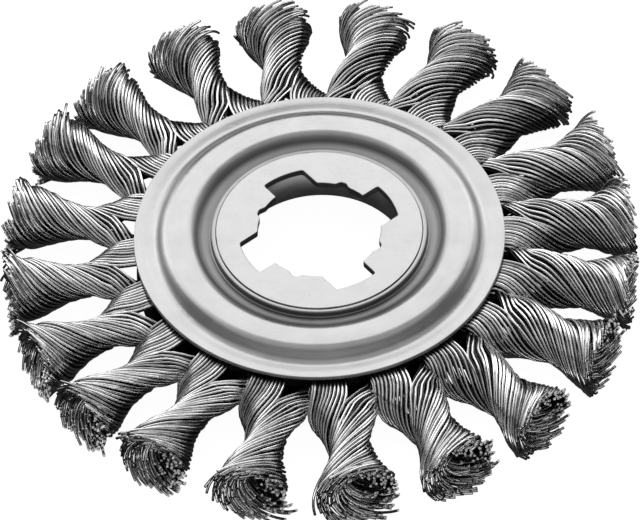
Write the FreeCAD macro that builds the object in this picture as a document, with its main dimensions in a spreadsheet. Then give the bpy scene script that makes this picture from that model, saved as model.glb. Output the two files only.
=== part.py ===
import FreeCAD, Part
import Sketcher
import os
from math import cos, radians, sin, sqrt, tan
from FreeCAD import Placement, Rotation, Vector

# A knotted wire wheel brush. The wheel's axis is Z, with the star bore's open face up.
# The origin is on the axis, in the middle plane of the knots. Lengths are in millimetres.

SIZES = {
    # The whole wheel
    "wheel_diameter": (115.0, "across the tips of the knots"),
    "knot_count": (20, "wire knots around the wheel"),
    "first_knot_angle": (23.7, "degrees from X to the first knot"),
    # The star bore plate
    "arbor_diameter": (22.23, "inscribed circle of the bore"),
    "star_plate_thickness": (1.3, "sheet"),
    "star_plate_margin": (4.15, "from the lobes out to the lip"),
    "star_plate_drop": (0.1, "its upper face, below the top of the lip"),
    "lobe_count": (4, "lobes of the bore"),
    "lobe_depth": (3.485, "beyond the inscribed circle"),
    "lobe_angle": (10.3, "degrees from X to the outer end of a lobe's slanted flank"),
    "lobe_span": (31.3, "degrees along the outer arc of a lobe"),
    "lobe_slant": (9.8, "degrees that the slanted flank turns on its way in"),
    "lobe_lean": (1.4, "degrees that the straight flank turns on its way in"),
    "lobe_corner_radius": (0.5, "corners of the lobes"),
    "relief_depth": (0.735, "notch beyond the inscribed circle"),
    "relief_angle": (62.0, "degrees from X to the notch"),
    "relief_span": (9.0, "degrees along the notch"),
    # The two stamped face plates. Heights are of their outer surfaces, from the middle plane
    "plate_gauge": (0.8, "thickness of the sheet"),
    "brim_height": (4.2, "brim, at the foot of the raised band"),
    "rim_rise": (0.6, "rim above the foot of the brim"),
    "band_rise": (2.2, "raised band above the foot of the brim"),
    "front_channel_depth": (1.5, "channel of the front plate, below its band"),
    "rear_channel_depth": (3.9, "channel of the rear plate, below its band"),
    "lip_rise": (1.2, "turned-up lip above the front channel"),
    "channel_width": (2.35, "floor of the channel, out from the lip"),
    "inner_wall_run": (1.3, "slope from the channel up to the band, along the radius"),
    "band_width": (5.3, "raised band, along the radius"),
    "outer_wall_run": (0.9, "slope from the band down to the brim, along the radius"),
    "brim_width": (4.1, "brim, along the radius"),
    "wall_set_back": (0.5, "inside corners, along the radius"),
    "bend_radius": (0.8, "outside of the bends"),
    "edge_width": (0.2, "broken edges of the sheet"),
    # The hub collar
    "shelf_width": (2.75, "shelf under the star plate, in from the lip"),
    "collar_wall": (1.3, "wall of the tube"),
    "collar_flange_reach": (1.75, "flange under the front plate, out from the lip"),
    "collar_flange_thickness": (1.2, "flange under the front plate"),
    "collar_roll_reach": (2.0, "rolled end behind the rear plate, out from the tube"),
    "collar_roll_thickness": (1.0, "rolled end behind the rear plate"),
    "collar_roll_radius": (0.9, "flare of the rolled end"),
    "seat_clearance": (0.1, "around seated pieces, along the radius"),
    # The ring that the wires are threaded through
    "ring_thickness": (2.0, "plate"),
    "ring_set_back": (2.5, "its edge, in from the rim of the plates"),
    "ring_hole_set_back": (2.0, "middle of the wire holes, in from the band's outer edge"),
    "ring_hole_diameter": (5.6, "one hole for each knot"),
    # The wire knots
    "wire_clearance": (0.05, "between the wires and what clamps them"),
    "fold_set_back": (0.8, "fold of the wires, out from the band's inner edge"),
    "leg_gap_angle": (0.9, "degrees between neighbouring legs"),
    "knot_gap": (0.5, "between neighbouring knots, where they leave the plates"),
    "knot_cover": (1.0, "length of the twisted knot that the rim covers"),
    "knot_waist_distance": (13.5, "from the root to where the knot is thinnest"),
    "knot_waist_width": (8.6, "across both strands"),
    "knot_waist_depth": (7.0, "across one strand"),
    "knot_tip_width": (12.4, "flared tip"),
    "knot_tip_rounding": (1.2, "rounded edge of the tip"),
    "knot_start_angle": (150.0, "degrees, first strand at the root"),
    "knot_pitch": (26.0, "length of one full turn, right-handed"),
    "twist_run_in": (7.5, "length over which the twist begins"),
    "strand_groove": (0.14, "depth between the strands, share of the radius"),
    "crater_diameter": (7.6, "hollow in the tip"),
    "crater_floor_diameter": (2.0, "hollow in the tip"),
    "crater_depth": (6.0, "hollow in the tip"),
}

# Radii and heights that follow from them, from the hub outward and from the middle plane up

LOBE_RADIUS = "(sizes.arbor_diameter / 2 + sizes.lobe_depth)"
LIP_INSIDE = f"({LOBE_RADIUS} + sizes.star_plate_margin)"
LIP_OUTSIDE = f"({LIP_INSIDE} + sizes.plate_gauge)"
HUB_BORE = f"({LIP_INSIDE} - sizes.shelf_width)"
TUBE_OUTSIDE = f"({HUB_BORE} + sizes.collar_wall)"
CHANNEL_EDGE = f"({LIP_OUTSIDE} + sizes.channel_width)"
BAND_INSIDE = f"({CHANNEL_EDGE} + sizes.inner_wall_run)"
BAND_OUTSIDE = f"({BAND_INSIDE} + sizes.band_width)"
BRIM_FOOT = f"({BAND_OUTSIDE} + sizes.outer_wall_run)"
RIM = f"({BRIM_FOOT} + sizes.brim_width)"
RING_EDGE = f"({RIM} - sizes.ring_set_back)"
RING_HOLES = f"({BAND_OUTSIDE} - sizes.ring_hole_set_back)"
KNOT_ROOT = f"({RIM} - sizes.knot_cover)"
RIM_HEIGHT = "(sizes.brim_height + sizes.rim_rise)"
BAND_HEIGHT = "(sizes.brim_height + sizes.band_rise)"
FRONT_FLOOR = f"({BAND_HEIGHT} - sizes.front_channel_depth)"
REAR_FLOOR = f"({BAND_HEIGHT} - sizes.rear_channel_depth)"
FRONT_UNDER = f"({FRONT_FLOOR} - sizes.plate_gauge)"
LIP_TOP = f"({FRONT_FLOOR} + sizes.lip_rise)"
STAR_TOP = f"({LIP_TOP} - sizes.star_plate_drop)"
SHELF = f"({STAR_TOP} - sizes.star_plate_thickness)"

TWIST_STEPS = 10
ROW_CORNERS = 16
GROOVE_SHARPNESS = 6
FOLD_CORNERS = 8

doc = FreeCAD.newDocument("wire_wheel_brush")
sheet = doc.addObject("Spreadsheet::Sheet", "sizes")
for row, (alias, (number, meaning)) in enumerate(SIZES.items(), start=1):
    sheet.set(f"A{row}", alias)
    sheet.set(f"B{row}", str(number))
    sheet.set(f"C{row}", meaning)
    sheet.setAlias(f"B{row}", alias)
doc.recompute()


def size(name):
    return float(getattr(sheet, name))


def worked_out(expression):
    result = sheet.evalExpression(expression)
    return float(getattr(result, "Value", result))


def origin_plane(body, role):
    return next(f for f in body.Origin.OriginFeatures if f.Role == role)


def new_sketch(body, name, role):
    sketch = body.newObject("Sketcher::SketchObject", name)
    sketch.AttachmentSupport = [(origin_plane(body, role), "")]
    sketch.MapMode = "FlatFace"
    return sketch


def place_point(sketch, edge, end, across, up):
    """Ties one end of an edge to two expressions, measured from the sketch's origin."""
    for kind, expression in (("DistanceX", across), ("DistanceY", up)):
        number = worked_out(expression)
        index = sketch.addConstraint(Sketcher.Constraint(kind, -1, 1, edge, end, number))
        sketch.setExpression(f"Constraints[{index}]", expression)


def closed_outline(sketch, corners):
    """Straight lines through corners, each a pair of expressions."""
    points = [Vector(worked_out(across), worked_out(up), 0) for across, up in corners]
    count = len(points)
    for i in range(count):
        sketch.addGeometry(Part.LineSegment(points[i], points[(i + 1) % count]), False)
    for i in range(count):
        sketch.addConstraint(Sketcher.Constraint("Coincident", i, 2, (i + 1) % count, 1))
        place_point(sketch, i, 1, *corners[i])


def circle(sketch, reach, across="0", up="0"):
    centre = Vector(worked_out(across), worked_out(up), 0)
    radius = worked_out(reach)
    index = sketch.addGeometry(Part.Circle(centre, Vector(0, 0, 1), radius), False)
    if across == "0" and up == "0":
        sketch.addConstraint(Sketcher.Constraint("Coincident", index, 3, -1, 1))
    else:
        place_point(sketch, index, 3, across, up)
    ring = sketch.addConstraint(Sketcher.Constraint("Radius", index, radius))
    sketch.setExpression(f"Constraints[{ring}]", reach)


def polar(reach, angle):
    """The two expressions of a point at a distance from the axis and an angle from X."""
    return tuple(f"{reach} * {turn}({angle} * 1 deg)" for turn in ("cos", "sin"))


def turned_body(name, corners):
    """A body of revolution about Z, from an outline of radii and heights."""
    body = doc.addObject("PartDesign::Body", name)
    body.Label = name
    sketch = new_sketch(body, name + "_section", "XZ_Plane")
    closed_outline(sketch, corners)
    turned = body.newObject("PartDesign::Revolution", name + "_turned")
    turned.Profile = sketch
    turned.ReferenceAxis = (sketch, ["V_Axis"])
    turned.Angle = 360
    doc.recompute()
    return body


def rings_at(shape, rings):
    """The circular edges at the given radius and height expressions."""
    wanted = [(worked_out(across), worked_out(up)) for across, up in rings]
    found = []
    for number, edge in enumerate(shape.Edges, start=1):
        curve = edge.Curve
        if not isinstance(curve, Part.Circle):
            continue
        for across, up in wanted:
            if abs(curve.Radius - across) < 1e-4 and abs(curve.Center.z - up) < 1e-4:
                found.append(f"Edge{number}")
    return found


def round_rings(body, name, radius, rings):
    base = body.Tip
    fillet = body.newObject("PartDesign::Fillet", name)
    fillet.Base = (base, rings_at(base.Shape, rings))
    fillet.setExpression("Radius", radius)
    doc.recompute()


def bevel_rings(body, name, width, rings):
    base = body.Tip
    chamfer = body.newObject("PartDesign::Chamfer", name)
    chamfer.Base = (base, rings_at(base.Shape, rings))
    chamfer.setExpression("Size", width)
    doc.recompute()


# The stamped face plates

def stamped_plate(name, floor, hub_corners, hub_edges):
    """Outline from the hub's corners along the outer surface to the rim, and back inside."""
    gauge = "sizes.plate_gauge"
    back = "sizes.wall_set_back"
    outside = [
        (CHANNEL_EDGE, floor),
        (BAND_INSIDE, BAND_HEIGHT),
        (BAND_OUTSIDE, BAND_HEIGHT),
        (BRIM_FOOT, "sizes.brim_height"),
        (RIM, RIM_HEIGHT),
    ]
    inside = [
        (RIM, f"{RIM_HEIGHT} - {gauge}"),
        (f"{BRIM_FOOT} - {back}", f"sizes.brim_height - {gauge}"),
        (f"{BAND_OUTSIDE} - {back}", f"{BAND_HEIGHT} - {gauge}"),
        (f"{BAND_INSIDE} + {back}", f"{BAND_HEIGHT} - {gauge}"),
        (f"{CHANNEL_EDGE} + {back}", f"{floor} - {gauge}"),
    ]
    body = turned_body(name, hub_corners + outside + inside)
    round_rings(body, name + "_bends", "sizes.bend_radius", outside[:3])
    bevel_rings(body, name + "_foot", "sizes.bend_radius / 2", [outside[3]])
    bevel_rings(body, name + "_edges", "sizes.edge_width", [outside[4], *hub_edges])
    return body


lip_edges = [(LIP_INSIDE, LIP_TOP), (LIP_OUTSIDE, LIP_TOP)]
front_plate = stamped_plate(
    "front_face_plate",
    FRONT_FLOOR,
    [(LIP_INSIDE, FRONT_UNDER), *lip_edges, (LIP_OUTSIDE, FRONT_FLOOR)],
    lip_edges,
)

rear_hub = f"{TUBE_OUTSIDE} + sizes.seat_clearance"
rear_plate = stamped_plate(
    "rear_face_plate",
    REAR_FLOOR,
    [(rear_hub, f"{REAR_FLOOR} - sizes.plate_gauge"), (rear_hub, REAR_FLOOR)],
    [],
)
rear_plate.Placement = Placement(Vector(), Rotation(Vector(1, 0, 0), 180))


# The hub collar, with a shelf for the star plate and a rolled end behind the rear plate

def hub_collar():
    step = f"{LIP_INSIDE} - sizes.seat_clearance"
    flange = f"{LIP_INSIDE} + sizes.collar_flange_reach"
    flange_under = f"{FRONT_UNDER} - sizes.collar_flange_thickness"
    roll = f"{TUBE_OUTSIDE} + sizes.collar_roll_reach"
    roll_top = f"-1 * {REAR_FLOOR}"
    roll_end = f"{roll_top} - sizes.collar_roll_thickness"
    body = turned_body(
        "hub_collar",
        [
            (HUB_BORE, SHELF),
            (step, SHELF),
            (step, FRONT_UNDER),
            (flange, FRONT_UNDER),
            (flange, flange_under),
            (TUBE_OUTSIDE, flange_under),
            (TUBE_OUTSIDE, roll_top),
            (roll, roll_top),
            (roll, roll_end),
            (HUB_BORE, roll_end),
        ],
    )
    flared = [(HUB_BORE, roll_end)]
    round_rings(body, "hub_collar_flare", "sizes.collar_roll_radius", flared)
    outer_edges = [(roll, roll_end), (flange, flange_under)]
    bevel_rings(body, "hub_collar_edges", "sizes.edge_width", outer_edges)
    return body


collar = hub_collar()


# The star bore plate

def pocket(body, sketch, name):
    """Cuts the sketch through the whole body, upward from its plane."""
    before = body.Shape.Volume
    cut = body.newObject("PartDesign::Pocket", name)
    cut.Profile = sketch
    cut.Type = "ThroughAll"
    cut.Reversed = True
    doc.recompute()
    if cut.Shape.Volume >= before:
        raise RuntimeError(f"{name} cuts nothing")
    return cut


def repeated(body, feature, name, copies):
    pattern = body.newObject("PartDesign::PolarPattern", name)
    pattern.Originals = [feature]
    pattern.Axis = (origin_plane(body, "Z_Axis"), [""])
    pattern.Angle = 360
    pattern.setExpression("Occurrences", copies)
    body.Tip = pattern
    doc.recompute()


def flat_disc(name, radius, thickness):
    body = doc.addObject("PartDesign::Body", name)
    body.Label = name
    sketch = new_sketch(body, name + "_disc", "XY_Plane")
    circle(sketch, radius)
    disc = body.newObject("PartDesign::Pad", name + "_pad")
    disc.Profile = sketch
    disc.setExpression("Length", thickness)
    doc.recompute()
    return body


def sector_sketch(body, name, reach, start, span, feet):
    """A closed outline with an arc at the given reach, closed by lines through the feet."""
    sketch = new_sketch(body, name, "XY_Plane")
    disc = Part.Circle(Vector(), Vector(0, 0, 1), worked_out(reach))
    first_turn = radians(worked_out(start))
    swept = radians(worked_out(span))
    sketch.addGeometry(Part.ArcOfCircle(disc, first_turn, first_turn + swept), False)
    sketch.addConstraint(Sketcher.Constraint("Coincident", 0, 3, -1, 1))
    first = polar(reach, start)
    last = polar(reach, f"({start} + {span})")
    path = [last, *feet, first]
    points = [Vector(worked_out(across), worked_out(up), 0) for across, up in path]
    for i in range(len(points) - 1):
        sketch.addGeometry(Part.LineSegment(points[i], points[i + 1]), False)
    lines = len(points) - 1
    sketch.addConstraint(Sketcher.Constraint("Coincident", 0, 2, 1, 1))
    for i in range(1, lines):
        sketch.addConstraint(Sketcher.Constraint("Coincident", i, 2, i + 1, 1))
        place_point(sketch, i, 2, *path[i])
    sketch.addConstraint(Sketcher.Constraint("Coincident", lines, 2, 0, 1))
    place_point(sketch, 0, 1, *first)
    turn = sketch.addConstraint(Sketcher.Constraint("Angle", 0, swept))
    sketch.setExpression(f"Constraints[{turn}]", f"{span} * 1 deg")
    doc.recompute()
    return sketch


def lobe_corners(shape):
    """The upright edges at the outer ends of the lobes."""
    found = []
    for number, edge in enumerate(shape.Edges, start=1):
        ends = [vertex.Point for vertex in edge.Vertexes]
        upright = len(ends) == 2 and abs(ends[0].z - ends[1].z) > size("star_plate_thickness") / 2
        if upright and abs(sqrt(ends[0].x**2 + ends[0].y**2) - worked_out(LOBE_RADIUS)) < 1e-3:
            found.append(f"Edge{number}")
    return found


def star_bore_plate():
    seated = f"{LIP_INSIDE} - sizes.seat_clearance"
    body = flat_disc("star_bore_plate", seated, "sizes.star_plate_thickness")
    arbor = new_sketch(body, "arbor_circle", "XY_Plane")
    circle(arbor, "sizes.arbor_diameter / 2")
    pocket(body, arbor, "arbor_hole")
    # The feet lie a little inside the arbor circle, so that the cuts open into it
    feet_reach = "(sizes.arbor_diameter / 2 - sizes.lobe_corner_radius)"
    feet = [
        polar(feet_reach, "(sizes.lobe_angle + sizes.lobe_span + sizes.lobe_lean)"),
        polar(feet_reach, "(sizes.lobe_angle - sizes.lobe_slant)"),
    ]
    lobe = sector_sketch(
        body, "lobe_outline", LOBE_RADIUS, "sizes.lobe_angle", "sizes.lobe_span", feet
    )
    repeated(body, pocket(body, lobe, "lobe_cut"), "lobes", "sizes.lobe_count")
    notch = sector_sketch(
        body,
        "relief_outline",
        "(sizes.arbor_diameter / 2 + sizes.relief_depth)",
        "sizes.relief_angle",
        "sizes.relief_span",
        [polar(feet_reach, "(sizes.relief_angle + sizes.relief_span / 2)")],
    )
    repeated(body, pocket(body, notch, "relief_cut"), "reliefs", "sizes.lobe_count")
    base = body.Tip
    fillet = body.newObject("PartDesign::Fillet", "lobe_corners")
    fillet.Base = (base, lobe_corners(base.Shape))
    fillet.setExpression("Radius", "sizes.lobe_corner_radius")
    doc.recompute()
    body.setExpression("Placement.Base.z", SHELF)
    return body


star_plate = star_bore_plate()


# The ring that the wires are threaded through

def retaining_ring():
    body = flat_disc("knot_retaining_ring", RING_EDGE, "sizes.ring_thickness")
    centre = new_sketch(body, "ring_centre", "XY_Plane")
    circle(centre, f"{TUBE_OUTSIDE} + sizes.seat_clearance")
    pocket(body, centre, "ring_centre_hole")
    hole = new_sketch(body, "wire_hole_circle", "XY_Plane")
    middle = polar(RING_HOLES, "sizes.first_knot_angle")
    circle(hole, "sizes.ring_hole_diameter / 2", *middle)
    repeated(body, pocket(body, hole, "wire_hole"), "wire_holes", "sizes.knot_count")
    body.setExpression("Placement.Base.z", "-1 * sizes.ring_thickness / 2")
    return body


ring = retaining_ring()


# The wire knots. One is made with its length along X, then copied around the wheel.

def mix(start, end, share):
    return start + (end - start) * share


def eased(share):
    return share * share * (3 - 2 * share)


def root_half_sizes():
    """At the root the knot fills its share of the wheel, between the two brims."""
    across = worked_out(KNOT_ROOT) * tan(radians(180 / size("knot_count"))) - size("knot_gap") / 2
    short_side = size("brim_height") - size("plate_gauge")
    turn = radians(size("knot_start_angle"))
    long_side = sqrt(across**2 - (short_side * sin(turn)) ** 2) / abs(cos(turn))
    return long_side, short_side


def knot_half_sizes(radius):
    """Half the long and the short side of the knot's section, at a distance from the axis."""
    root = worked_out(KNOT_ROOT)
    waist = root + size("knot_waist_distance")
    tip = size("wheel_diameter") / 2
    waist_sides = (size("knot_waist_width") / 2, size("knot_waist_depth") / 2)
    if radius < waist:
        share = eased((radius - root) / (waist - root))
        return [mix(a, b, share) for a, b in zip(root_half_sizes(), waist_sides)]
    share = sin(radians(90 * (radius - waist) / (tip - waist)))
    return [mix(side, size("knot_tip_width") / 2, share) for side in waist_sides]


def twist_at(radius):
    """The angle of the first strand. The wires leave the plates straight, and then twist."""
    run_in = size("twist_run_in")
    past_root = radius - worked_out(KNOT_ROOT)
    if past_root < run_in:
        twisted = past_root**2 / (2 * run_in)
    else:
        twisted = past_root - run_in / 2
    return radians(size("knot_start_angle") + 360 * twisted / size("knot_pitch"))


def knot_row(radius, shrink=0.0):
    """Corners around both strands, turned by the twist up to this distance from the axis."""
    long_side, short_side = (side - shrink for side in knot_half_sizes(radius))
    twist = twist_at(radius)
    row = []
    for i in range(ROW_CORNERS):
        angle = radians(360 * i / ROW_CORNERS)
        flat = (short_side * cos(angle)) ** 2 + (long_side * sin(angle)) ** 2
        groove = 1 - size("strand_groove") * sin(angle) ** GROOVE_SHARPNESS
        reach = long_side * short_side / sqrt(flat) * groove
        row.append(Vector(radius, reach * cos(angle + twist), reach * sin(angle + twist)))
    return row


def round_row(radius, diameter, like):
    """A row on a circle, its corners in the same directions as those of another row."""
    row = []
    for corner in like:
        reach = diameter / 2 / sqrt(corner.y**2 + corner.z**2)
        row.append(Vector(radius, corner.y * reach, corner.z * reach))
    return row


def flat_face(corners):
    return Part.Face(Part.makePolygon([*corners, corners[0]]))


def facets_between(first, second):
    """Two flat triangles for each step around two rows."""
    faces = []
    for i in range(len(first)):
        j = (i + 1) % len(first)
        faces.append(flat_face([first[i], second[j], first[j]]))
        faces.append(flat_face([first[i], second[i], second[j]]))
    return faces


def closed_solid(faces):
    shell = Part.makeShell(faces)
    shell.sewShape()
    solid = Part.Solid(shell)
    if solid.Volume < 0:
        solid.reverse()
    return solid


def twisted_strands():
    """Both strands in one flat-faceted solid, with a rounded tip and a hollow in it."""
    root = worked_out(KNOT_ROOT)
    tip = size("wheel_diameter") / 2
    rounding = size("knot_tip_rounding")
    rows = [knot_row(mix(root, tip - rounding, i / TWIST_STEPS)) for i in range(TWIST_STEPS + 1)]
    rim = knot_row(tip, shrink=rounding / 2)
    mouth = round_row(tip, size("crater_diameter"), rim)
    floor = round_row(tip - size("crater_depth"), size("crater_floor_diameter"), rim)
    rows += [rim, mouth, floor]
    faces = [flat_face(rows[0]), flat_face(floor)]
    for first, second in zip(rows, rows[1:]):
        faces += facets_between(first, second)
    return closed_solid(faces)


def folded_legs():
    """The two legs of the fold, above and below the ring, clamped by the face plates."""
    clear = size("wire_clearance")
    gauge = size("plate_gauge")
    ring_top = size("ring_thickness") / 2
    inner = worked_out(BAND_INSIDE) + size("fold_set_back")
    back = size("wall_set_back")
    bend = size("bend_radius")
    band_under = worked_out(BAND_HEIGHT) - gauge - bend
    band = worked_out(BAND_OUTSIDE) - back - bend
    brim = worked_out(BRIM_FOOT) - back
    brim_under = size("brim_height") - gauge - clear
    meeting = worked_out(RING_EDGE) + clear
    root = worked_out(KNOT_ROOT) + clear
    upper = [
        (inner, ring_top),
        (inner, band_under),
        (band - back, band_under),
        (brim - back, brim_under),
        (root, brim_under),
    ]
    lower = [(radius, -height) for radius, height in reversed(upper)]
    slot = [(meeting, -ring_top), (meeting, ring_top)]
    spread = tan(radians(180 / size("knot_count") - size("leg_gap_angle") / 2))
    sides = [
        [Vector(radius, side * radius * spread, height) for radius, height in upper + lower + slot]
        for side in (-1, 1)
    ]
    faces = [flat_face(sides[0]), flat_face(sides[1])]
    count = len(sides[0])
    for i in range(count):
        j = (i + 1) % count
        faces.append(flat_face([sides[0][i], sides[0][j], sides[1][j], sides[1][i]]))
    reach = size("ring_hole_diameter") / 2 - clear
    middle = Vector(worked_out(RING_HOLES), 0, -ring_top)
    corners = [
        middle + Vector(reach * cos(turn), reach * sin(turn), 0)
        for turn in (radians(360 * i / FOLD_CORNERS) for i in range(FOLD_CORNERS))
    ]
    fold = flat_face(corners).extrude(Vector(0, 0, size("ring_thickness")))
    return closed_solid(faces).fuse(fold)


def wire_knots():
    knot = folded_legs().fuse(twisted_strands())
    solid = knot.Solids[0]
    count = int(size("knot_count"))
    made = []
    for i in range(count):
        piece = doc.addObject("Part::Feature", f"wire_knot_{i + 1:02d}")
        piece.Label = piece.Name
        piece.Shape = solid
        turn = size("first_knot_angle") + 360 * i / count
        piece.Placement = Placement(Vector(), Rotation(Vector(0, 0, 1), turn))
        made.append(piece)
    return made


pieces = [front_plate, rear_plate, star_plate, collar, ring, *wire_knots()]
doc.recompute()
for item in doc.Objects:
    if "Invalid" in item.State or "Error" in item.State:
        raise RuntimeError(f"{item.Label} failed: {item.State}")
os.makedirs("parts", exist_ok=True)
for piece in pieces:
    shape = piece.Shape
    if shape.isNull() or not shape.isValid() or not shape.Solids:
        raise RuntimeError(f"{piece.Label} has no valid solid")
    shape.exportStep(os.path.join("parts", piece.Label + ".step"))
    print(piece.Label, len(shape.Solids), round(shape.Volume, 1), shape.BoundBox)
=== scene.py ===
from collections import namedtuple
from math import cos, pi, radians, sin

import bpy
import numpy as np
from mathutils import Matrix, Vector


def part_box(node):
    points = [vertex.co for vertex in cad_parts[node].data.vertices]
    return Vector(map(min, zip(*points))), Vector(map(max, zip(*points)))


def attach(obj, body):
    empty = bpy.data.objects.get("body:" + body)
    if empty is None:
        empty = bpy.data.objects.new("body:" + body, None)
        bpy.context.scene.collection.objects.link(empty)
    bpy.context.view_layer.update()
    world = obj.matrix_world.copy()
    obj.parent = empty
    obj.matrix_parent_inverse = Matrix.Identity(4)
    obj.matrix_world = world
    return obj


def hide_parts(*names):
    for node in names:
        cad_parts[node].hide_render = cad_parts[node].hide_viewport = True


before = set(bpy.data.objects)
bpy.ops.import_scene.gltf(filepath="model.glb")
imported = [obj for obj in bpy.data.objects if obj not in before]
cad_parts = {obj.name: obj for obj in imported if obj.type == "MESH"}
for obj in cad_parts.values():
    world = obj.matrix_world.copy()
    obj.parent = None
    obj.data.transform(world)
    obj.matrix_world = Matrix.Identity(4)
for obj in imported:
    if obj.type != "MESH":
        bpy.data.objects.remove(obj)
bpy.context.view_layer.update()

# A knotted wire wheel brush, lying on its rear plate. Lengths are in metres and angles in
# degrees, and the wheel's axis is Z, with the star bore's open face up.

MM = 0.001
ROOT = "root"

# Sizes that the frame gives
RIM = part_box("front_face_plate")[1].x
BAND_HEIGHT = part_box("front_face_plate")[1].z
FLOOR_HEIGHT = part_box("rear_face_plate")[0].z
STAR_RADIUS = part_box("star_bore_plate")[1].x
STAR_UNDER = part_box("star_bore_plate")[0].z
STAR_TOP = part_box("star_bore_plate")[1].z
COLLAR_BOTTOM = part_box("hub_collar")[0].z
RING_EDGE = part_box("knot_retaining_ring")[1].x

# The stamped plates, from the hub outward. A bend is the radius of a corner of the profile:
# UNDER_BEND is for the inner face, the others are for the outer face and the edges.
GAUGE = 0.8 * MM
BRIM_HEIGHT = BAND_HEIGHT - 2.2 * MM
RIM_HEIGHT = BRIM_HEIGHT + 0.6 * MM
CREST_DROP = 0.08 * MM
LIP_INSIDE = 18.7 * MM
LIP_OUTSIDE = 19.55 * MM
CHANNEL_EDGE = LIP_OUTSIDE + 2.35 * MM
BAND_INSIDE = CHANNEL_EDGE + 1.3 * MM
BAND_OUTSIDE = BAND_INSIDE + 5.0 * MM
BRIM_FOOT = BAND_OUTSIDE + 1.5 * MM
BRIM_CREST = BRIM_FOOT + 2.5 * MM
WALL_SET_BACK = 0.5 * MM
FRONT_FLOOR = BAND_HEIGHT - 1.5 * MM
REAR_FLOOR = BAND_HEIGHT - 3.9 * MM
LIP_TOP = FRONT_FLOOR + 1.0 * MM
LIP_TILT = 0.12 * MM
CHANNEL_DISH = 0.25 * MM
LIP_EDGE = 0.12 * MM
LIP_BEND = 0.3 * MM
HOLE_EDGE = 0.15 * MM
CHANNEL_BEND = 0.9 * MM
INSIDE_BEND = 2.2 * MM
OUTSIDE_BEND = 2.3 * MM
FOOT_BEND = 2.0 * MM
CREST_BEND = 8.0 * MM
UNDER_BEND = 0.8 * MM
SHEARED_EDGE = 0.16 * MM
BEND_STEPS = 8
PLATE_SEGMENTS = 240

# The hub collar
HUB_BORE = 16.0 * MM
LEDGE_DEPTH = 0.9 * MM
LEDGE_WIDTH = 0.3 * MM
LEDGE_RISE = 0.08 * MM
TUBE = HUB_BORE + 1.3 * MM
SEAT_CLEARANCE = 0.1 * MM
COLLAR_STEP = 18.65 * MM
FLANGE = 20.5 * MM
FLANGE_THICKNESS = 1.2 * MM
TURNED_EDGE = 0.1 * MM
TURNED_FILLET = 0.2 * MM
ROLL = TUBE + 2.0 * MM
ROLL_THICKNESS = 1.0 * MM
ROLL_EDGE = 0.3 * MM
ROLL_FLARE = 0.9 * MM
COLLAR_SEGMENTS = 192

# The star bore. The angles count from each quarter's start, and each arc has so many points.
ARBOR = 22.23 / 2 * MM
LOBE = ARBOR + 3.485 * MM
RELIEF = ARBOR + 0.735 * MM
LOBE_COUNT = 4
LOBE_ANGLE = 10.3
LOBE_SPAN = 31.3
LOBE_SLANT = 9.8
LOBE_LEAN = 1.4
RELIEF_ANGLE = 62.0
RELIEF_SPAN = 9.0
RELIEF_LEAD = 3
RELIEF_SLANT = 2
LAST_ARC_END = 89
LOBE_POINTS = 14
RELIEF_POINTS = 4
ARC_POINTS = (8, 7)
PUNCHED_CORNER = 0.25 * MM
STAR_BEVEL = 0.1 * MM

# The wire knots, each of two strands: how they leave the plates, twist and spread
KNOT_COUNT = 20
FIRST_KNOT_ANGLE = 23.7
FIRST_SEED = 4100
WIRE = 0.51 * MM
KNOT_ROOT = RIM - 1.0 * MM
WIRE_START = RING_EDGE - 0.2 * MM
WAIST = KNOT_ROOT + 13.5 * MM
TIP = 56.7 * MM
START_ANGLE = 180
PITCH = 24.5 * MM
RUN_IN = 13.9 * MM
FAN_START = (33.0 * MM, 30.5 * MM)
FAN_END = (44.0 * MM, 39.0 * MM)
LEG_LAYER = 1.8 * MM
ROOT_GROOVE = 0.16
WAIST_GROOVE = 0.09
GROOVE_SHARPNESS = 8
SWIRL_LENGTH = 5.0 * MM
SWIRL_TRAVEL = 2.2 * MM
SWIRL_REACH = 1.6
SWIRL_EASE = 1.7
TIP_SLANT = 0.4 * MM
STEP_EASE = 1.5

# How much the wires and the knots differ from one another. KNOT_LEANS says how far each knot
# of the photographed wheel leans to one side.
PLACE_SCATTER = 0.16
BODY_SCATTER = 0.012
TIP_SCATTER = 0.04
END_SCATTER = 0.42
WANDER = 0.045 * MM
WANDER_STATIONS = 6
LOOSE_LENGTH = 5 * MM
STRAY_SHARE = 0.08
STRAY_OUT = (0.3, 1.4)
STRAY_ASIDE = 1.2
LOOSE_OUT = 0.22
LOOSE_ASIDE = 0.7
FLARE_SCATTER = 0.035
PHASE_SCATTER = 7
WIDEST_PARTING = 0.7
PARTING_START = WAIST + 3 * MM
KNOT_LEANS = [
    -2.3, -1.4, -0.5, 0.1, 1.5, 2.0, 2.7, 0.2, 0.6, 1.2,
    0.5, -1.6, -3.0, -1.9, -0.8, 0.1, 0.1, 1.0, -0.2, -1.2,
]
ROOT_LEAN_SHARE = 0.4
LEAN_END = WAIST + 4 * MM

# The wires inside a knot are painted nearly black as shade up to here, and lightened to this at
# the tip
PAINTED_LIGHT_START = TIP - 7 * MM
PAINTED_LIGHT_END = TIP - 2 * MM
INNER_PAINTED_LIGHT = 0.8

# Added to lengths that may be nought, so that they can be divided by
HAIR = 0.01 * MM

# What tells one knot from the next: how wide it spreads, how far its strands have turned, and
# how far they part at the tip
Knot = namedtuple("Knot", "flare phase parting")

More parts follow.
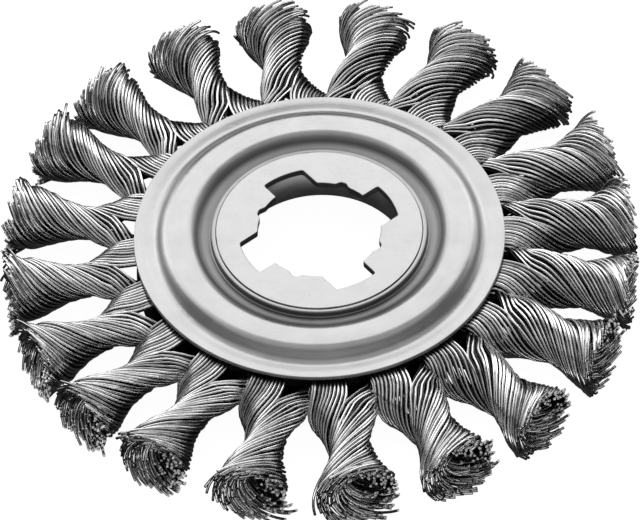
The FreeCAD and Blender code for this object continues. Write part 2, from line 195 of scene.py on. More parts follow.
# Each layer of wires in a strand: share of the knot's half width in the body and at the tip,
# number of wires, share of the strand's half turn that they reach round, where they begin,
# steps along a wire, sides of a wire, how deep in the hollow tip it ends. The last three
# layers only fill the tip.
Layer = namedtuple("Layer", "share tip_share wires span begin steps sides depth")
LAYERS = [
    Layer(1.00, 1.07, 14, 0.93, WIRE_START, 35, 7, 0.0),
    Layer(0.87, 0.98, 13, 0.86, WIRE_START, 27, 6, 0.1 * MM),
    Layer(0.73, 0.88, 12, 0.92, WIRE_START, 22, 5, 0.3 * MM),
    Layer(0.59, 0.76, 10, 0.90, WAIST - 4 * MM, 16, 5, 0.6 * MM),
    Layer(0.46, 0.63, 9, 0.89, WAIST - 2 * MM, 14, 5, 1.0 * MM),
    Layer(0.34, 0.49, 8, 0.87, WAIST, 12, 5, 1.6 * MM),
    Layer(0.27, 0.35, 7, 0.85, WAIST + 1 * MM, 11, 5, 2.5 * MM),
    Layer(0.93, 1.02, 14, 1.00, WAIST + 4 * MM, 8, 4, 0.2 * MM),
    Layer(0.80, 0.92, 12, 0.96, WAIST + 4 * MM, 8, 4, 0.4 * MM),
    Layer(0.66, 0.80, 10, 0.94, WAIST + 4 * MM, 8, 4, 0.7 * MM),
]

# Where the outer wires of the strand that begins above lie beside the plates: places round
# the strand, and how far aside and up each is. They cover the top, then the side.
LEG_PLACES = (-1.0, 0.4, 0.65, 1.0)
LEG_ACROSS = (0.7 * MM, -5.7 * MM, -6.2 * MM, -5.6 * MM)
LEG_UP = (3.1 * MM, 3.1 * MM, 1.6 * MM, -1.4 * MM)

# A knot's section at some distances from the axis, to the middle of its outer wires:
# half its long side, half its short side, and how far the long side has turned up
SECTIONS = [
    (31.0 * MM, 5.2 * MM, 2.9 * MM, 0.0),
    (36.0 * MM, 5.2 * MM, 2.9 * MM, 6.0),
    (39.0 * MM, 5.4 * MM, 2.85 * MM, 15.0),
    (42.0 * MM, 5.0 * MM, 2.95 * MM, 34.0),
    (45.0 * MM, 4.65 * MM, 3.1 * MM, 50.0),
    (47.5 * MM, 4.6 * MM, 3.6 * MM, 66.0),
    (50.0 * MM, 4.9 * MM, 4.5 * MM, 80.0),
    (53.0 * MM, 5.4 * MM, 5.7 * MM, 88.0),
    (58.5 * MM, 6.1 * MM, 6.9 * MM, 90.0),
]
TIP_HALF_WIDTH = SECTIONS[-1][1]

# Painted shade darkening the plates' channel and its crease: distance outward from where it
# starts as a share of its width, and the share of the light that the steel still mirrors there
CHANNEL_SHADE_START = 19 * MM
CHANNEL_SHADE_WIDTH = 5 * MM
CHANNEL_SHADE = [
    (0.0, 0.9),
    (0.1, 0.65),
    (0.2, 0.5),
    (0.4, 0.55),
    (0.54, 0.3),
    (0.66, 0.45),
    (0.8, 0.8),
    (0.95, 1.0),
]

# The camera
CAMERA_DISTANCE = 800 * MM
CAMERA_ELEVATION = 49.37
CAMERA_ROLL = -2.265
CAMERA_TARGET = Vector((-0.075, -2.249, 0)) * MM
CAMERA_LENS = 248.75
CAMERA_SENSOR = 36.0

# The lights: name, azimuth (0 is the camera's side), elevation, distance, width, depth, power
SOFTBOXES = [
    ("key_softbox", 190, 46, 1.0, 1.8, 0.7, 10.4),
    ("low_back", 180, 12, 1.0, 2.2, 0.3, 0.4),
    ("back_left", 230, 16, 1.0, 0.8, 0.5, 2.2),
    ("back_right", 132, 18, 1.0, 0.8, 0.6, 2.6),
    ("overhead", 0, 84, 1.0, 1.6, 0.9, 3.7),
    ("front_fill", 0, 32, 1.0, 2.2, 0.8, 1.9),
    ("front_strip", 0, 9, 1.0, 2.2, 0.2, 3.4),
]
SURROUNDINGS = 0.03

# The set
FLOOR_REACH = 3.0
FLOOR_GAP = 0.02 * MM
FLOOR_GLOW = 0.97
DOME_GLOW = 0.95
DOME_RADIUS = 2.9
DOME_SINK = 0.05
DOME_STEPS = 32
DOME_RISE = 8


# Meshes

def mesh_piece(name, points, faces, material, replaces, smooth=True):
    """A piece that rides on the wheel and stands for nodes of the frame."""
    mesh = bpy.data.meshes.new(name)
    mesh.from_pydata(points, [], faces)
    mesh.polygons.foreach_set("use_smooth", np.full(len(faces), smooth))
    mesh.materials.append(material)
    mesh.validate()
    piece = bpy.data.objects.new(name, mesh)
    bpy.context.scene.collection.objects.link(piece)
    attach(piece, ROOT)
    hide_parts(*replaces)
    return piece


def rounded_profile(corners):
    """Points through corners (radius, height, bend), each bend an arc of that radius."""
    path = []
    count = len(corners)
    for i, (across, up, bend) in enumerate(corners):
        here = Vector((across, up))
        if bend == 0:
            path.append(here)
            continue
        before = (Vector(corners[i - 1][:2]) - here).normalized()
        after = (Vector(corners[(i + 1) % count][:2]) - here).normalized()
        half = before.angle(after) / 2
        reach = bend / np.tan(half)
        centre = here + (before + after).normalized() * (bend / sin(half))
        first = here + before * reach - centre
        last = here + after * reach - centre
        for k in range(BEND_STEPS + 1):
            path.append(centre + first.slerp(last, k / BEND_STEPS) * bend)
    return path


def lathe(path, segments):
    """Points and faces of a closed profile turned about Z."""
    turns = np.linspace(0, 2 * pi, segments, endpoint=False)
    radius = np.array([p.x for p in path])
    height = np.array([p.y for p in path])
    grid = np.empty((segments, len(path), 3))
    grid[..., 0] = np.cos(turns)[:, None] * radius
    grid[..., 1] = np.sin(turns)[:, None] * radius
    grid[..., 2] = height
    rows = len(path)
    faces = []
    for i in range(segments):
        j = (i + 1) % segments
        for k in range(rows):
            m = (k + 1) % rows
            faces.append((i * rows + k, j * rows + k, j * rows + m, i * rows + m))
    return grid.reshape(-1, 3), faces


# The stamped plates

def plate_profile(channel_floor, inside_bend, hub):
    """A plate's profile, from its hub along the outer face to the rim and back inside."""
    outer = [
        (CHANNEL_EDGE, channel_floor + CHANNEL_DISH, CHANNEL_BEND),
        (BAND_INSIDE, BAND_HEIGHT, inside_bend),
        (BAND_OUTSIDE, BAND_HEIGHT, OUTSIDE_BEND),
        (BRIM_FOOT, BRIM_HEIGHT, FOOT_BEND),
        (BRIM_CREST, RIM_HEIGHT - CREST_DROP, CREST_BEND),
        (RIM, RIM_HEIGHT, SHEARED_EDGE),
    ]
    inner = [
        (RIM, RIM_HEIGHT - GAUGE, SHEARED_EDGE),
        (BRIM_FOOT - WALL_SET_BACK, BRIM_HEIGHT - GAUGE, UNDER_BEND),
        (BAND_OUTSIDE - WALL_SET_BACK, BAND_HEIGHT - GAUGE, UNDER_BEND),
        (BAND_INSIDE + WALL_SET_BACK, BAND_HEIGHT - GAUGE, UNDER_BEND),
        (CHANNEL_EDGE + WALL_SET_BACK, channel_floor - GAUGE, UNDER_BEND),
    ]
    return rounded_profile(hub + outer + inner)


def front_plate(material):
    """The upper plate, with its hub edge turned up as a lip around the star plate."""
    hub = [
        (LIP_INSIDE, FRONT_FLOOR - GAUGE, 0),
        (LIP_INSIDE, LIP_TOP - LIP_TILT, LIP_EDGE),
        (LIP_OUTSIDE, LIP_TOP, LIP_BEND),
        (LIP_OUTSIDE, FRONT_FLOOR - CHANNEL_DISH, LIP_BEND),
    ]
    points, faces = lathe(plate_profile(FRONT_FLOOR, INSIDE_BEND, hub), PLATE_SEGMENTS)
    return mesh_piece(
        "front_plate_stamping", points, faces, material, ["front_face_plate"]
    )


def rear_plate(material):
    """The lower plate, turned over, with a deeper channel and a hole for the collar's tube."""
    hub_edge = TUBE + SEAT_CLEARANCE
    hub = [(hub_edge, REAR_FLOOR - GAUGE, 0), (hub_edge, REAR_FLOOR, HOLE_EDGE)]
    points, faces = lathe(plate_profile(REAR_FLOOR, OUTSIDE_BEND, hub), PLATE_SEGMENTS)
    half_turn = (1, -1, -1)
    return mesh_piece(
        "rear_plate_stamping",
        points * half_turn,
        faces,
        material,
        ["rear_face_plate"],
    )


def hub_collar(material):
    """The turned tube that holds the plates together, rolled over behind the rear one."""
    ledge = HUB_BORE + LEDGE_WIDTH
    ledge_height = STAR_UNDER - LEDGE_DEPTH
    flange_top = FRONT_FLOOR - GAUGE
    flange_bottom = flange_top - FLANGE_THICKNESS
    roll_top = COLLAR_BOTTOM + ROLL_THICKNESS
    corners = [
        (HUB_BORE, ledge_height, 0),
        (ledge, ledge_height + LEDGE_RISE, 0),
        (ledge, STAR_UNDER, 0),
        (COLLAR_STEP, STAR_UNDER, 0),
        (COLLAR_STEP, flange_top, 0),
        (FLANGE, flange_top, TURNED_EDGE),
        (FLANGE, flange_bottom, TURNED_FILLET),
        (TUBE, flange_bottom, TURNED_FILLET),
        (TUBE, roll_top, 0),
        (ROLL, roll_top, TURNED_EDGE),
        (ROLL, COLLAR_BOTTOM, ROLL_EDGE),
        (HUB_BORE, COLLAR_BOTTOM, ROLL_FLARE),
    ]
    points, faces = lathe(rounded_profile(corners), COLLAR_SEGMENTS)
    return mesh_piece("turned_collar", points, faces, material, ["hub_collar"])


# The star bore plate

def on_circle(radius, angle):
    return Vector((radius * cos(radians(angle)), radius * sin(radians(angle))))


def arc(radius, start, end, steps):
    return [on_circle(radius, angle) for angle in np.linspace(start, end, steps)]


def star_outline():
    """The bore's edge, counter-clockwise: four lobes and four notches, with arcs between."""
    outline = []
    lobe_end = LOBE_ANGLE + LOBE_SPAN
    relief_end = RELIEF_ANGLE + RELIEF_SPAN
    for i in range(LOBE_COUNT):
        turn = 360 / LOBE_COUNT * i
        outline.append(on_circle(ARBOR, turn + LOBE_ANGLE - LOBE_SLANT))
        outline += arc(LOBE, turn + LOBE_ANGLE, turn + lobe_end, LOBE_POINTS)
        start = turn + lobe_end + LOBE_LEAN
        outline += arc(ARBOR, start, turn + RELIEF_ANGLE - RELIEF_LEAD, ARC_POINTS[0])
        start = turn + RELIEF_ANGLE + RELIEF_SLANT
        outline += arc(RELIEF, start, turn + relief_end - RELIEF_SLANT, RELIEF_POINTS)
        start = turn + relief_end + RELIEF_SLANT
        outline += arc(ARBOR, start, turn + LAST_ARC_END, ARC_POINTS[1])
    return outline


def soften(outline, rounds=2):
    """Cuts the corners of a closed outline a little, the way a punch leaves them."""
    for _ in range(rounds):
        cut = []
        for i, here in enumerate(outline):
            after = outline[(i + 1) % len(outline)]
            gap = min(0.25, PUNCHED_CORNER / max((after - here).length, 1e-9))
            cut += [here.lerp(after, gap), after.lerp(here, gap)]
        outline = cut
    return outline


def inset(outline, distance):
    """The outline moved sideways, into the plate."""
    moved = []
    count = len(outline)
    for i, here in enumerate(outline):
        along = (outline[(i + 1) % count] - outline[i - 1]).normalized()
        moved.append(here + Vector((along.y, -along.x)) * distance)
    return moved


def star_plate(material):
    """The plate between the bore's outline and a circle with a point for each point of it."""
    bore = soften(star_outline())
    count = len(bore)
    angles = [np.arctan2(p.y, p.x) for p in bore]
    outer = [Vector((STAR_RADIUS * cos(a), STAR_RADIUS * sin(a))) for a in angles]
    middle = [p.lerp(q, 0.5) for p, q in zip(bore, outer)]
    rings = [
        (outer, STAR_UNDER),
        (outer, STAR_TOP - STAR_BEVEL),
        ([p * (1 - STAR_BEVEL / STAR_RADIUS) for p in outer], STAR_TOP),
        (middle, STAR_TOP),
        (inset(bore, STAR_BEVEL), STAR_TOP),
        (bore, STAR_TOP - STAR_BEVEL),
        (bore, STAR_UNDER),
        (middle, STAR_UNDER),
    ]
    points = [(p.x, p.y, height) for ring, height in rings for p in ring]
    faces = []
    for k in range(len(rings)):
        m = (k + 1) % len(rings)
        for i in range(count):
            j = (i + 1) % count
            faces.append((k * count + i, m * count + i, m * count + j, k * count + j))
    replaces = ["star_bore_plate"]
    return mesh_piece(
        "star_plate_blank", points, faces, material, replaces, smooth=False
    )


# The wire knots

def smooth_step(low, high, values):
    share = np.clip((values - low) / (high - low), 0, 1)
    return share * share * (3 - 2 * share)


def mix(start, end, share):
    return start + (end - start) * share


def twist_at(radius):
    """How far the strands have turned. The wires leave the plates straight, then twist."""
    past = radius - KNOT_ROOT
    slow = np.clip(past, 0, RUN_IN)
    twisted = slow**2 / (2 * RUN_IN) + np.maximum(past - RUN_IN, 0)
    return radians(START_ANGLE) + 2 * pi * twisted / PITCH


def through(stations, values, places):
    """A smooth curve through a few values."""
    slopes = np.gradient(values, stations)
    k = np.clip(np.searchsorted(stations, places) - 1, 0, len(stations) - 2)
    step = stations[k + 1] - stations[k]
    t = (places - stations[k]) / step
    start = values[k] + slopes[k] * step * t
    end = values[k + 1] - slopes[k + 1] * step * (1 - t)
    return mix(start, end, t * t * (3 - 2 * t))


def section_at(radius, flare):
    """Half the long and the short side of the knot's section, and the long side's direction."""
    stations, long_side, short_side, direction = np.array(SECTIONS).T
    spread = mix(1.0, flare, smooth_step(WAIST, TIP, radius))
    long_side = through(stations, long_side, radius) * spread
    short_side = through(stations, short_side, radius) * spread
    return long_side, short_side, np.radians(through(stations, direction, radius))


def in_section(section, reach, angle):
    """How far aside and up the wires are, from their reach and angle in the section."""
    long_side, short_side, direction = section
    along_long = long_side * reach * np.cos(angle)
    along_short = short_side * reach * np.sin(angle)
    across = along_long * np.cos(direction) - along_short * np.sin(direction)
    up = along_long * np.sin(direction) + along_short * np.cos(direction)
    return across, up


def flat_leg(section, place, share):
    """Reach and angle of the upper leg's wires, side by side between the ring and a plate."""
    long_side, short_side, _ = section
    across = np.interp(place, LEG_PLACES, LEG_ACROSS) / long_side
    up = (np.interp(place, LEG_PLACES, LEG_UP) - (1 - share) * LEG_LAYER) / short_side
    return np.hypot(across, up), np.mod(np.arctan2(up, across), 2 * pi)


def wander(chance, count, along):
    """A slow drift of each wire, aside and up."""
    drift = chance.normal(0, WANDER, (2, count, WANDER_STATIONS))
    stations = np.linspace(0, 1, WANDER_STATIONS)
    return np.array([[np.interp(along, stations, wire) for wire in way] for way in drift])


def splay(chance, across, up, loose):
    """The wires with their loose ends spread a little, and a few of them strayed."""
    count = len(loose)
    stray = chance.random(count) < STRAY_SHARE
    out = np.where(
        stray, chance.uniform(*STRAY_OUT, count), chance.normal(0.0, LOOSE_OUT, count)
    )
    aside = np.where(
        stray, chance.normal(0, STRAY_ASIDE, count), chance.normal(0, LOOSE_ASIDE, count)
    )
    out = (out * MM)[:, None] * loose
    aside = (aside * MM)[:, None] * loose
    far = np.sqrt(across**2 + up**2) + HAIR
    out_across = across / far
    out_up = up / far
    return (
        across + out_across * out - out_up * aside,
        up + out_up * out + out_across * aside,
    )


def wire_paths(chance, layer, strand, knot):
    """Centre lines of one layer of a strand's wires, along X."""
    count = layer.wires
    place = np.linspace(-layer.span, layer.span, count)
    place = place + chance.normal(0, PLACE_SCATTER / count, count)
    offset = place[:, None] * (pi / 2)
    share = layer.share + chance.normal(0, BODY_SCATTER, count)[:, None]
    tip_share = layer.tip_share + chance.normal(0, TIP_SCATTER, count)[:, None]

    # The inner wires swirl further round the hollow tip, and the lower ones end further out
    swirl_turn = SWIRL_TRAVEL * (SWIRL_REACH - tip_share) / (tip_share * TIP_HALF_WIDTH)
    facing = twist_at(TIP) + knot.phase + offset + swirl_turn + pi * strand
    end = TIP - layer.depth - TIP_SLANT * tip_share * np.sin(facing)
    end = end + chance.normal(0, END_SCATTER, (count, 1)) * MM
    along = 1 - (1 - np.linspace(0, 1, layer.steps)) ** STEP_EASE
    radius = mix(layer.begin, end, along)
    section = section_at(radius, knot.flare)

    # Twisted, a strand fills half of the section, with a groove where it meets the other
    swirl = np.clip((radius - (end - SWIRL_LENGTH)) / SWIRL_LENGTH, 0, 1) ** SWIRL_EASE
    past_root = smooth_step(KNOT_ROOT, WAIST, radius)
    turn = twist_at(radius) + knot.phase * past_root
    lead = 1 - 0.5 * np.sign(place)[:, None]
    groove = mix(ROOT_GROOVE, WAIST_GROOVE, past_root) * lead
    reach = 1 - groove * np.abs(np.sin(offset)) ** GROOVE_SHARPNESS
    reach = reach * mix(share, tip_share, swirl)

    # From side by side under the plate, the wires fold round into their half of the section
    flat_reach, flat_angle = flat_leg(section, place[:, None], share)
    fan = smooth_step(FAN_START[strand], FAN_END[strand], radius)
    angle = mix(flat_angle, turn + offset, fan) + swirl_turn * swirl + pi * strand - section[2]
    across, up = in_section(section, mix(flat_reach, reach, fan), angle)

    apart = knot.parting * smooth_step(PARTING_START, TIP, radius)
    drift = wander(chance, count, along)
    across = across + apart * np.cos(turn + pi * strand) + drift[0] * fan
    up = up + apart * np.sin(turn + pi * strand) + drift[1] * fan
    loose = np.clip((radius - (end - LOOSE_LENGTH)) / LOOSE_LENGTH, 0, 1) ** 2
    across, up = splay(chance, across, up, loose)
    return np.stack([radius, across, np.maximum(up, FLOOR_HEIGHT + WIRE / 2)], axis=-1)


def tubes(paths, sides):
    """Closed round wires along an array of paths: points, side faces, first and last caps."""
    count, steps = paths.shape[:2]
    along = np.gradient(paths, axis=1)
    along /= np.linalg.norm(along, axis=2, keepdims=True)

    # The first point of each ring faces away from the knot's middle line
    spoke = paths * (0, 1, 1)
    spoke[..., 1] += HAIR
    spoke -= along * np.sum(spoke * along, axis=2, keepdims=True)
    spoke /= np.linalg.norm(spoke, axis=2, keepdims=True)
    other = np.cross(along, spoke)
    turns = np.linspace(0, 2 * pi, sides, endpoint=False)[:, None]
    ring = spoke[:, :, None, :] * np.cos(turns) + other[:, :, None, :] * np.sin(turns)
    points = paths[:, :, None, :] + ring * WIRE / 2

    row = (np.arange(count)[:, None, None] * steps + np.arange(steps - 1)[None, :, None]) * sides
    here = np.arange(sides)[None, None, :]
    after = (here + 1) % sides
    quads = np.stack([row + here, row + after, row + sides + after, row + sides + here], axis=-1)
    base = np.arange(count)[:, None] * steps * sides
    starts = base + np.arange(sides)[::-1]
    ends = base + (steps - 1) * sides + np.arange(sides)
    return points.reshape(-1, 3), quads.reshape(-1, 4), starts, ends


def painted_light_along(layer, radius):
    """The outer wires are unshaded all along; those inside get painted shade, lifted only where
    the tip shows them.
    """
    if layer is LAYERS[0]:
        return np.ones(len(radius))
    return INNER_PAINTED_LIGHT * smooth_step(PAINTED_LIGHT_START, PAINTED_LIGHT_END, radius)


def on_wheel(number, points):
    """A knot's points turned to its place round the wheel, with its lean."""
    lean = radians(KNOT_LEANS[number - 1])
    share = smooth_step(KNOT_ROOT, LEAN_END, points[:, 0])
    turn = radians(FIRST_KNOT_ANGLE + 360 / KNOT_COUNT * (number - 1))
    turn = turn + lean * mix(ROOT_LEAN_SHARE, 1.0, share)
    turned = points.copy()
    turned[:, 0] = points[:, 0] * np.cos(turn) - points[:, 1] * np.sin(turn)
    turned[:, 1] = points[:, 0] * np.sin(turn) + points[:, 1] * np.cos(turn)
    return turned


def wire_knot(number, wire_material, cut_material):
    chance = np.random.default_rng(FIRST_SEED + number)
    flare = chance.normal(1.0, FLARE_SCATTER)
    phase = radians(chance.normal(0, PHASE_SCATTER))
    parting = chance.uniform(0.0, WIDEST_PARTING) * MM
    knot = Knot(flare, phase, parting)
    points, quads, caps, is_cut, tones, painted_light = [], [], [], [], [], []
    first = 0
    for layer in LAYERS:
        for strand in (0, 1):
            paths = wire_paths(chance, layer, strand, knot)
            made, sides, starts, ends = tubes(paths, layer.sides)
            points.append(made)
            quads.append(sides + first)
            caps += (starts + first).tolist() + (ends + first).tolist()
            is_cut += [0] * len(starts) + [1] * len(ends)
            tones.append(np.repeat(chance.random(len(paths)), len(made) // len(paths)))
            # Painted shade along each wire: nearly black inside the knot's body, lighter at the
            # tip
            painted_light.append(painted_light_along(layer, made[:, 0]))
            first += len(made)
    sides = np.concatenate(quads).tolist()
    piece = mesh_piece(
        f"twisted_wires_{number:02d}",
        on_wheel(number, np.concatenate(points)),
        sides + caps,
        wire_material,
        [f"wire_knot_{number:02d}"],
    )
    mesh = piece.data
    mesh.materials.append(cut_material)
    mesh.polygons.foreach_set("material_index", [0] * len(sides) + is_cut)
    mesh.polygons.foreach_set("use_smooth", [True] * len(sides) + [False] * len(caps))
    for name, values in (("wire_tone", tones), ("wire_bare", painted_light)):
        attribute = mesh.attributes.new(name, "FLOAT", "POINT")
        attribute.data.foreach_set("value", np.concatenate(values).astype(np.float32))
    return piece


# Materials

class Value:
    """A number, colour or vector on a socket, for use in Python expressions."""

    def __init__(self, paint, socket):
        self.paint = paint
        self.socket = socket

    def maths(self, operation, first, second):
        made = self.paint.node("ShaderNodeMath", {"operation": operation}, {0: first, 1: second})
        return Value(self.paint, made.outputs[0])

    def __add__(self, other):
        return self.maths("ADD", self, other)

    def __radd__(self, other):
        return self.maths("ADD", other, self)

    def __sub__(self, other):
        return self.maths("SUBTRACT", self, other)

    def __rsub__(self, other):
        return self.maths("SUBTRACT", other, self)

    def __mul__(self, other):
        return self.maths("MULTIPLY", self, other)

    def __rmul__(self, other):
        return self.maths("MULTIPLY", other, self)

    def __truediv__(self, other):
        return self.maths("DIVIDE", self, other)

    def __pow__(self, other):
        return self.maths("POWER", self, other)


class Paint:
    """A procedural material around one Principled shader."""

    def __init__(self, name, **uniform):
        self.material = bpy.data.materials.new(name)
        self.material.use_nodes = True
        self.tree = self.material.node_tree
        self.shader = self.tree.nodes["Principled BSDF"]
        for socket, value in uniform.items():
            self.shader.inputs[socket.replace("_", " ")].default_value = value

    def node(self, kind, settings=None, inputs=None):
        """A node of a type, with its settings, and the values or links of its sockets."""
        made = self.tree.nodes.new(kind)
        for setting, value in (settings or {}).items():
            if setting == "stops":
                ramp = made.color_ramp
                while len(ramp.elements) < len(value):
                    ramp.elements.new(0.5)
                for element, (position, shade) in zip(ramp.elements, value):
                    element.position = position
                    element.color = (shade, shade, shade, 1)
            else:
                setattr(made, setting, value)
        for socket, value in (inputs or {}).items():
            self.feed(made.inputs[socket], value)
        return made

    def feed(self, socket, value):
        if isinstance(value, Value):
            self.tree.links.new(value.socket, socket)
        else:
            socket.default_value = value

    def out(self, made, name=0):
        return Value(self, made.outputs[name])

    def place(self):
        return self.out(self.node("ShaderNodeTexCoord"), "Object")

    def attribute(self, name):
        return self.out(self.node("ShaderNodeAttribute", {"attribute_name": name}), "Fac")

    def noise(self, place, scale, detail=4.0, roughness=0.55):
        inputs = {"Vector": place, "Scale": scale, "Detail": detail, "Roughness": roughness}
        return self.out(self.node("ShaderNodeTexNoise", {}, inputs), "Fac")

    def ramp(self, value, stops):
        made = self.node("ShaderNodeValToRGB", {"stops": stops}, {"Fac": value})
        return self.out(made, "Color")

    def stretched(self, place, scale):
        return self.out(self.node("ShaderNodeMapping", {}, {"Vector": place, "Scale": scale}))

    def joined(self, x, y, z):
        return self.out(self.node("ShaderNodeCombineXYZ", {}, {0: x, 1: y, 2: z}))

    def polar(self, place):
        """Radius, turn and height of a place, as three values."""
        parts = self.node("ShaderNodeSeparateXYZ", {}, {"Vector": place})
        x, y, z = (self.out(parts, i) for i in range(3))
        radius = (x * x + y * y) ** 0.5
        turn = self.out(self.node("ShaderNodeMath", {"operation": "ARCTAN2"}, {0: y, 1: x}))
        return radius, turn, z

    def wall(self):
        """One on steep walls, nought on flat faces."""
        around = self.node("ShaderNodeNewGeometry")
        parts = self.node("ShaderNodeSeparateXYZ", {}, {"Vector": self.out(around, "Normal")})
        level = self.out(parts, 2)
        bounds = {0: level * level, 1: 0.8, 2: 0.3, 3: 0.0, 4: 1.0}
        return self.out(self.node("ShaderNodeMapRange", {"clamp": True}, bounds))

    def bump(self, height, strength, distance):
        inputs = {"Strength": strength, "Distance": distance, "Height": height}
        return self.out(self.node("ShaderNodeBump", {}, inputs))

    def finish(self, **varying):
        for socket, value in varying.items():
            self.feed(self.shader.inputs[socket.replace("_", " ")], value)
        return self.material


def plate_steel():
    """Bright stamped sheet: blotched, dented, with turning marks, and painted shade darkening
    its channel.
    """
    paint = Paint("stamped_plate_steel", Metallic=1.0)
    place = paint.place()
    radius, turn, height = paint.polar(place)
    rings = paint.noise(paint.joined(radius * 9000, turn * 3, height * 4000), 1.0, 3.0)
    blotches = paint.noise(place, 160.0, 5.0)
    grain = paint.noise(place, 2600.0, 3.0, 0.7)
    walls = paint.wall()
    # Painted shade: the base colour is darkened in the channel and its crease, which are also
    # made rougher
    channel_shade = paint.ramp((radius - CHANNEL_SHADE_START) / CHANNEL_SHADE_WIDTH, CHANNEL_SHADE)
    tone = paint.ramp(blotches * 0.7 + rings * 0.3, [(0.3, 0.28), (0.55, 0.335), (0.75, 0.375)])
    rough = 0.22 + blotches * 0.12 + grain * 0.08 + walls * 0.30 + (1 - channel_shade) * 0.2
    dents = paint.ramp(paint.noise(place, 420.0, 2.0), [(0.62, 1.0), (0.70, 0.0)])
    surface = rings * 0.4 + grain * (0.5 + walls * 2.0) + blotches * 1.2 + dents * 0.5
    bumps = paint.bump(surface, 0.5, 0.04 * MM)
    return paint.finish(Base_Color=tone * channel_shade, Roughness=rough, Normal=bumps)


def star_plate_steel():
    """Ground flat, with fine scratches one way, small pits and a few dull spots."""
    paint = Paint("ground_star_steel", Metallic=1.0)
    place = paint.place()
    scratches = paint.noise(paint.stretched(place, (400.0, 9000.0, 400.0)), 1.0, 4.0, 0.7)
    spots = paint.noise(place, 220.0, 5.0)
    pits = paint.ramp(paint.noise(place, 1500.0, 2.0), [(0.68, 1.0), (0.74, 0.75)])
    ground = spots * 0.6 + scratches * 0.4
    tone = paint.ramp(ground, [(0.3, 0.285), (0.5, 0.342), (0.7, 0.375)]) * pits
    rough = 0.22 + spots * 0.16 + scratches * 0.08
    bumps = paint.bump(scratches + spots * 0.8 + pits * 2.0, 0.4, 0.02 * MM)
    return paint.finish(Base_Color=tone, Roughness=rough, Normal=bumps)


def collar_steel():
    """Turned steel, dark with oil."""
    paint = Paint("turned_collar_steel", Metallic=1.0)
    place = paint.place()
    radius, turn, height = paint.polar(place)
    marks = paint.noise(paint.joined(radius * 3000, turn * 2, height * 9000), 1.0, 3.0)
    stains = paint.noise(place, 300.0, 4.0)
    tone = paint.ramp(stains, [(0.3, 0.50), (0.7, 0.68)])
    bumps = paint.bump(marks, 0.3, 0.04 * MM)
    return paint.finish(Base_Color=tone, Roughness=0.42 + stains * 0.2, Normal=bumps)


def ring_steel():
    """Dark sheet with its mill scale."""
    paint = Paint("mill_ring_steel", Metallic=1.0)
    scale = paint.noise(paint.place(), 700.0, 5.0)
    tone = paint.ramp(scale, [(0.3, 0.18), (0.7, 0.34)])
    bumps = paint.bump(scale, 0.4, 0.05 * MM)
    return paint.finish(Base_Color=tone, Roughness=0.35 + scale * 0.25, Normal=bumps)


def wire_steel():
    """Drawn wire, each a little different, with dull streaks, and painted shade that makes it
    nearly black deep inside the knot.
    """
    paint = Paint("drawn_wire_steel", Metallic=1.0)
    tone = paint.attribute("wire_tone")
    painted_light = paint.attribute("wire_bare")
    streaks = paint.noise(paint.place(), 900.0, 3.0)
    # Painted shade: the inner wires' colour drops to nearly black in the knot's body, lifted
    # near the tip
    drawn = (tone * 0.65 + streaks * 0.35) * (0.02 + painted_light * 0.98)
    shade = paint.ramp(drawn, [(0.0, 0.02), (0.2, 0.30), (0.5, 0.56), (0.85, 0.82)])
    rough = 0.12 + streaks * 0.10 + (1 - painted_light) * 0.2
    bumps = paint.bump(streaks, 0.2, 0.02 * MM)
    return paint.finish(Base_Color=shade, Roughness=rough, Normal=bumps)


def cut_wire_steel():
    """The sheared ends of the wires, bright."""
    paint = Paint("cut_wire_steel", Metallic=0.3)
    grain = paint.noise(paint.place(), 3000.0, 2.0)
    tone = paint.ramp(grain, [(0.3, 0.55), (0.7, 0.85)])
    return paint.finish(Base_Color=tone, Roughness=0.3 + grain * 0.2)


def pale_stage(name, glow):
    """A matt surface with a glow of its own, like a lit table of white acrylic."""
    paint = Paint(name, Roughness=0.7, Emission_Color=(1, 1, 1, 1), Emission_Strength=glow)
    soft = paint.noise(paint.place(), 6.0, 3.0)
    return paint.finish(Base_Color=paint.ramp(soft, [(0.3, 0.10), (0.7, 0.12)]))


# The stage

def camera():
    data = bpy.data.cameras.new("camera")
    data.sensor_width = CAMERA_SENSOR
    data.lens = CAMERA_LENS
    data.clip_start = 0.05
    data.clip_end = 10
    made = bpy.data.objects.new("camera", data)
    bpy.context.scene.collection.objects.link(made)
    tilt = radians(CAMERA_ELEVATION)
    roll = radians(CAMERA_ROLL)
    back = Vector((0, -cos(tilt), sin(tilt)))
    level = Vector((1, 0, 0))
    upright = back.cross(level)
    right = level * cos(roll) + upright * sin(roll)
    up = back.cross(right)
    turn = Matrix((right, up, back)).transposed().to_4x4()
    made.matrix_world = Matrix.Translation(CAMERA_TARGET + back * CAMERA_DISTANCE) @ turn
    bpy.context.scene.camera = made


def softbox(name, azimuth, elevation, distance, width, depth, power):
    """An area light that faces the wheel."""
    data = bpy.data.lights.new(name, "AREA")
    data.shape = "RECTANGLE"
    data.size = width
    data.size_y = depth
    data.energy = power
    made = bpy.data.objects.new(name, data)
    bpy.context.scene.collection.objects.link(made)
    a = radians(azimuth)
    e = radians(elevation)
    away = Vector((sin(a) * cos(e), -cos(a) * cos(e), sin(e)))
    made.location = away * distance
    made.rotation_euler = away.to_track_quat("Z", "Y").to_euler()


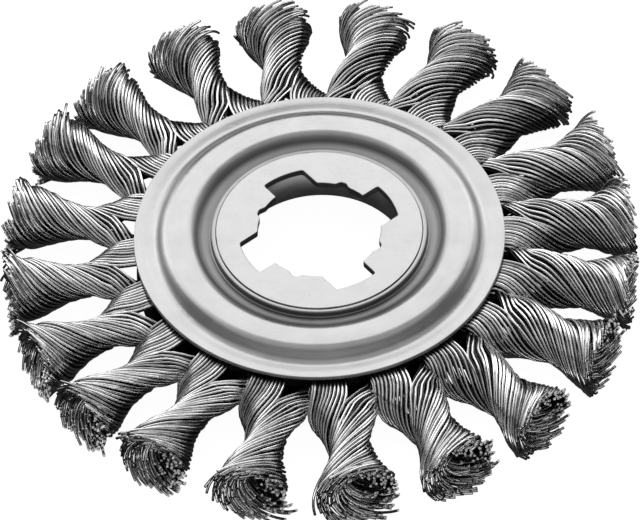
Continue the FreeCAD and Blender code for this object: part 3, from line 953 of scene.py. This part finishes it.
def studio():
    for box in SOFTBOXES:
        softbox(*box)
    world = bpy.data.worlds.new("studio")
    world.use_nodes = True
    background = world.node_tree.nodes["Background"]
    background.inputs["Color"].default_value = (1, 1, 1, 1)
    background.inputs["Strength"].default_value = SURROUNDINGS
    bpy.context.scene.world = world
    bpy.context.scene.view_settings.view_transform = "Standard"


def stage_piece(name, points, faces, material):
    """Part of the set. The steel doesn't mirror it, so that it stays dark between highlights."""
    mesh = bpy.data.meshes.new(name)
    mesh.from_pydata(points, [], faces)
    mesh.materials.append(material)
    made = bpy.data.objects.new(name, mesh)
    bpy.context.scene.collection.objects.link(made)
    made.visible_glossy = False
    return made


def floor():
    corners = [(-1, -1), (1, -1), (1, 1), (-1, 1)]
    height = FLOOR_HEIGHT - FLOOR_GAP
    points = [(x * FLOOR_REACH, y * FLOOR_REACH, height) for x, y in corners]
    stage_piece("floor", points, [(0, 1, 2, 3)], pale_stage("floor_white", FLOOR_GLOW))


def backdrop():
    """A pale dome behind everything, which casts no light on the wheel."""
    points, faces = [], []
    for k in range(DOME_RISE + 1):
        up = k / DOME_RISE * pi / 2
        level, height = DOME_RADIUS * cos(up), DOME_RADIUS * sin(up) - DOME_SINK
        for i in range(DOME_STEPS):
            a = 2 * pi * i / DOME_STEPS
            points.append((level * cos(a), level * sin(a), height))
    for k in range(DOME_RISE):
        here, above = k * DOME_STEPS, (k + 1) * DOME_STEPS
        for i in range(DOME_STEPS):
            j = (i + 1) % DOME_STEPS
            faces.append((here + i, here + j, above + j, above + i))
    dome = stage_piece("backdrop", points, faces, pale_stage("backdrop_white", DOME_GLOW))
    dome.visible_diffuse = False
    dome.visible_shadow = False


camera()
studio()
floor()
backdrop()

stamped = plate_steel()
front_plate(stamped)
rear_plate(stamped)
hub_collar(collar_steel())
star_plate(star_plate_steel())

# The ring is nearly hidden, so the frame's own node stays, with a material of its own
retaining_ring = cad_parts["knot_retaining_ring"]
retaining_ring.data.materials.clear()
retaining_ring.data.materials.append(ring_steel())

drawn = wire_steel()
sheared = cut_wire_steel()
for number in range(1, KNOT_COUNT + 1):
    wire_knot(number, drawn, sheared)
